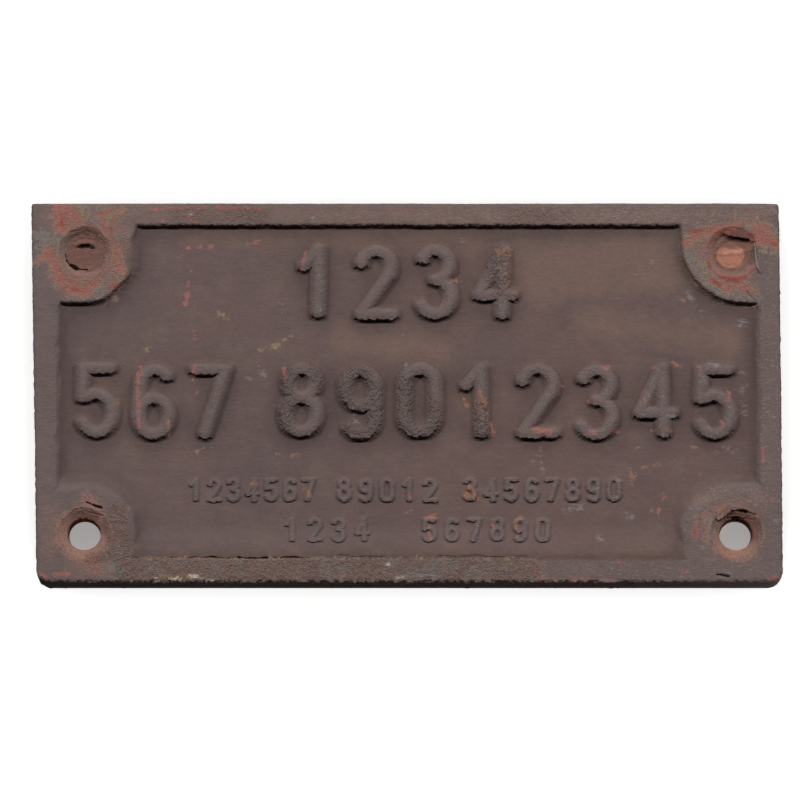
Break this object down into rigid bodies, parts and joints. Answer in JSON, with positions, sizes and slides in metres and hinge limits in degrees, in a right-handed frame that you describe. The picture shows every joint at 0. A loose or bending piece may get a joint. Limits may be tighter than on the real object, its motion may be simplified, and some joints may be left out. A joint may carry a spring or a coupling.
{
  "type": "railway wagon plate",
  "caption": "Rectangular cast-iron wagon plate with raised rim, corner pads and countersunk fixing holes, the upper ones plugged by rivet stubs.",
  "frame": {"origin": "middle of the flat back face, between the four fixing holes", "axes": "the plate lies on its back: +Z out of its face, +X along it to the reader's right, +Y up it"},
  "size_m": [0.202, 0.1046, 0.009],
  "materials": {
    "casting": "as cast, under worn grey-brown paint with red lead and rust showing",
    "stub_left": "torn and rusted brown",
    "stub_right": "sheared face, rusted orange"
  },
  "bodies": {
    "root": {"plate_casting": "casting", "rivet_stub_left": "stub_left", "rivet_stub_right": "stub_right"}
  },
  "joints": []
}
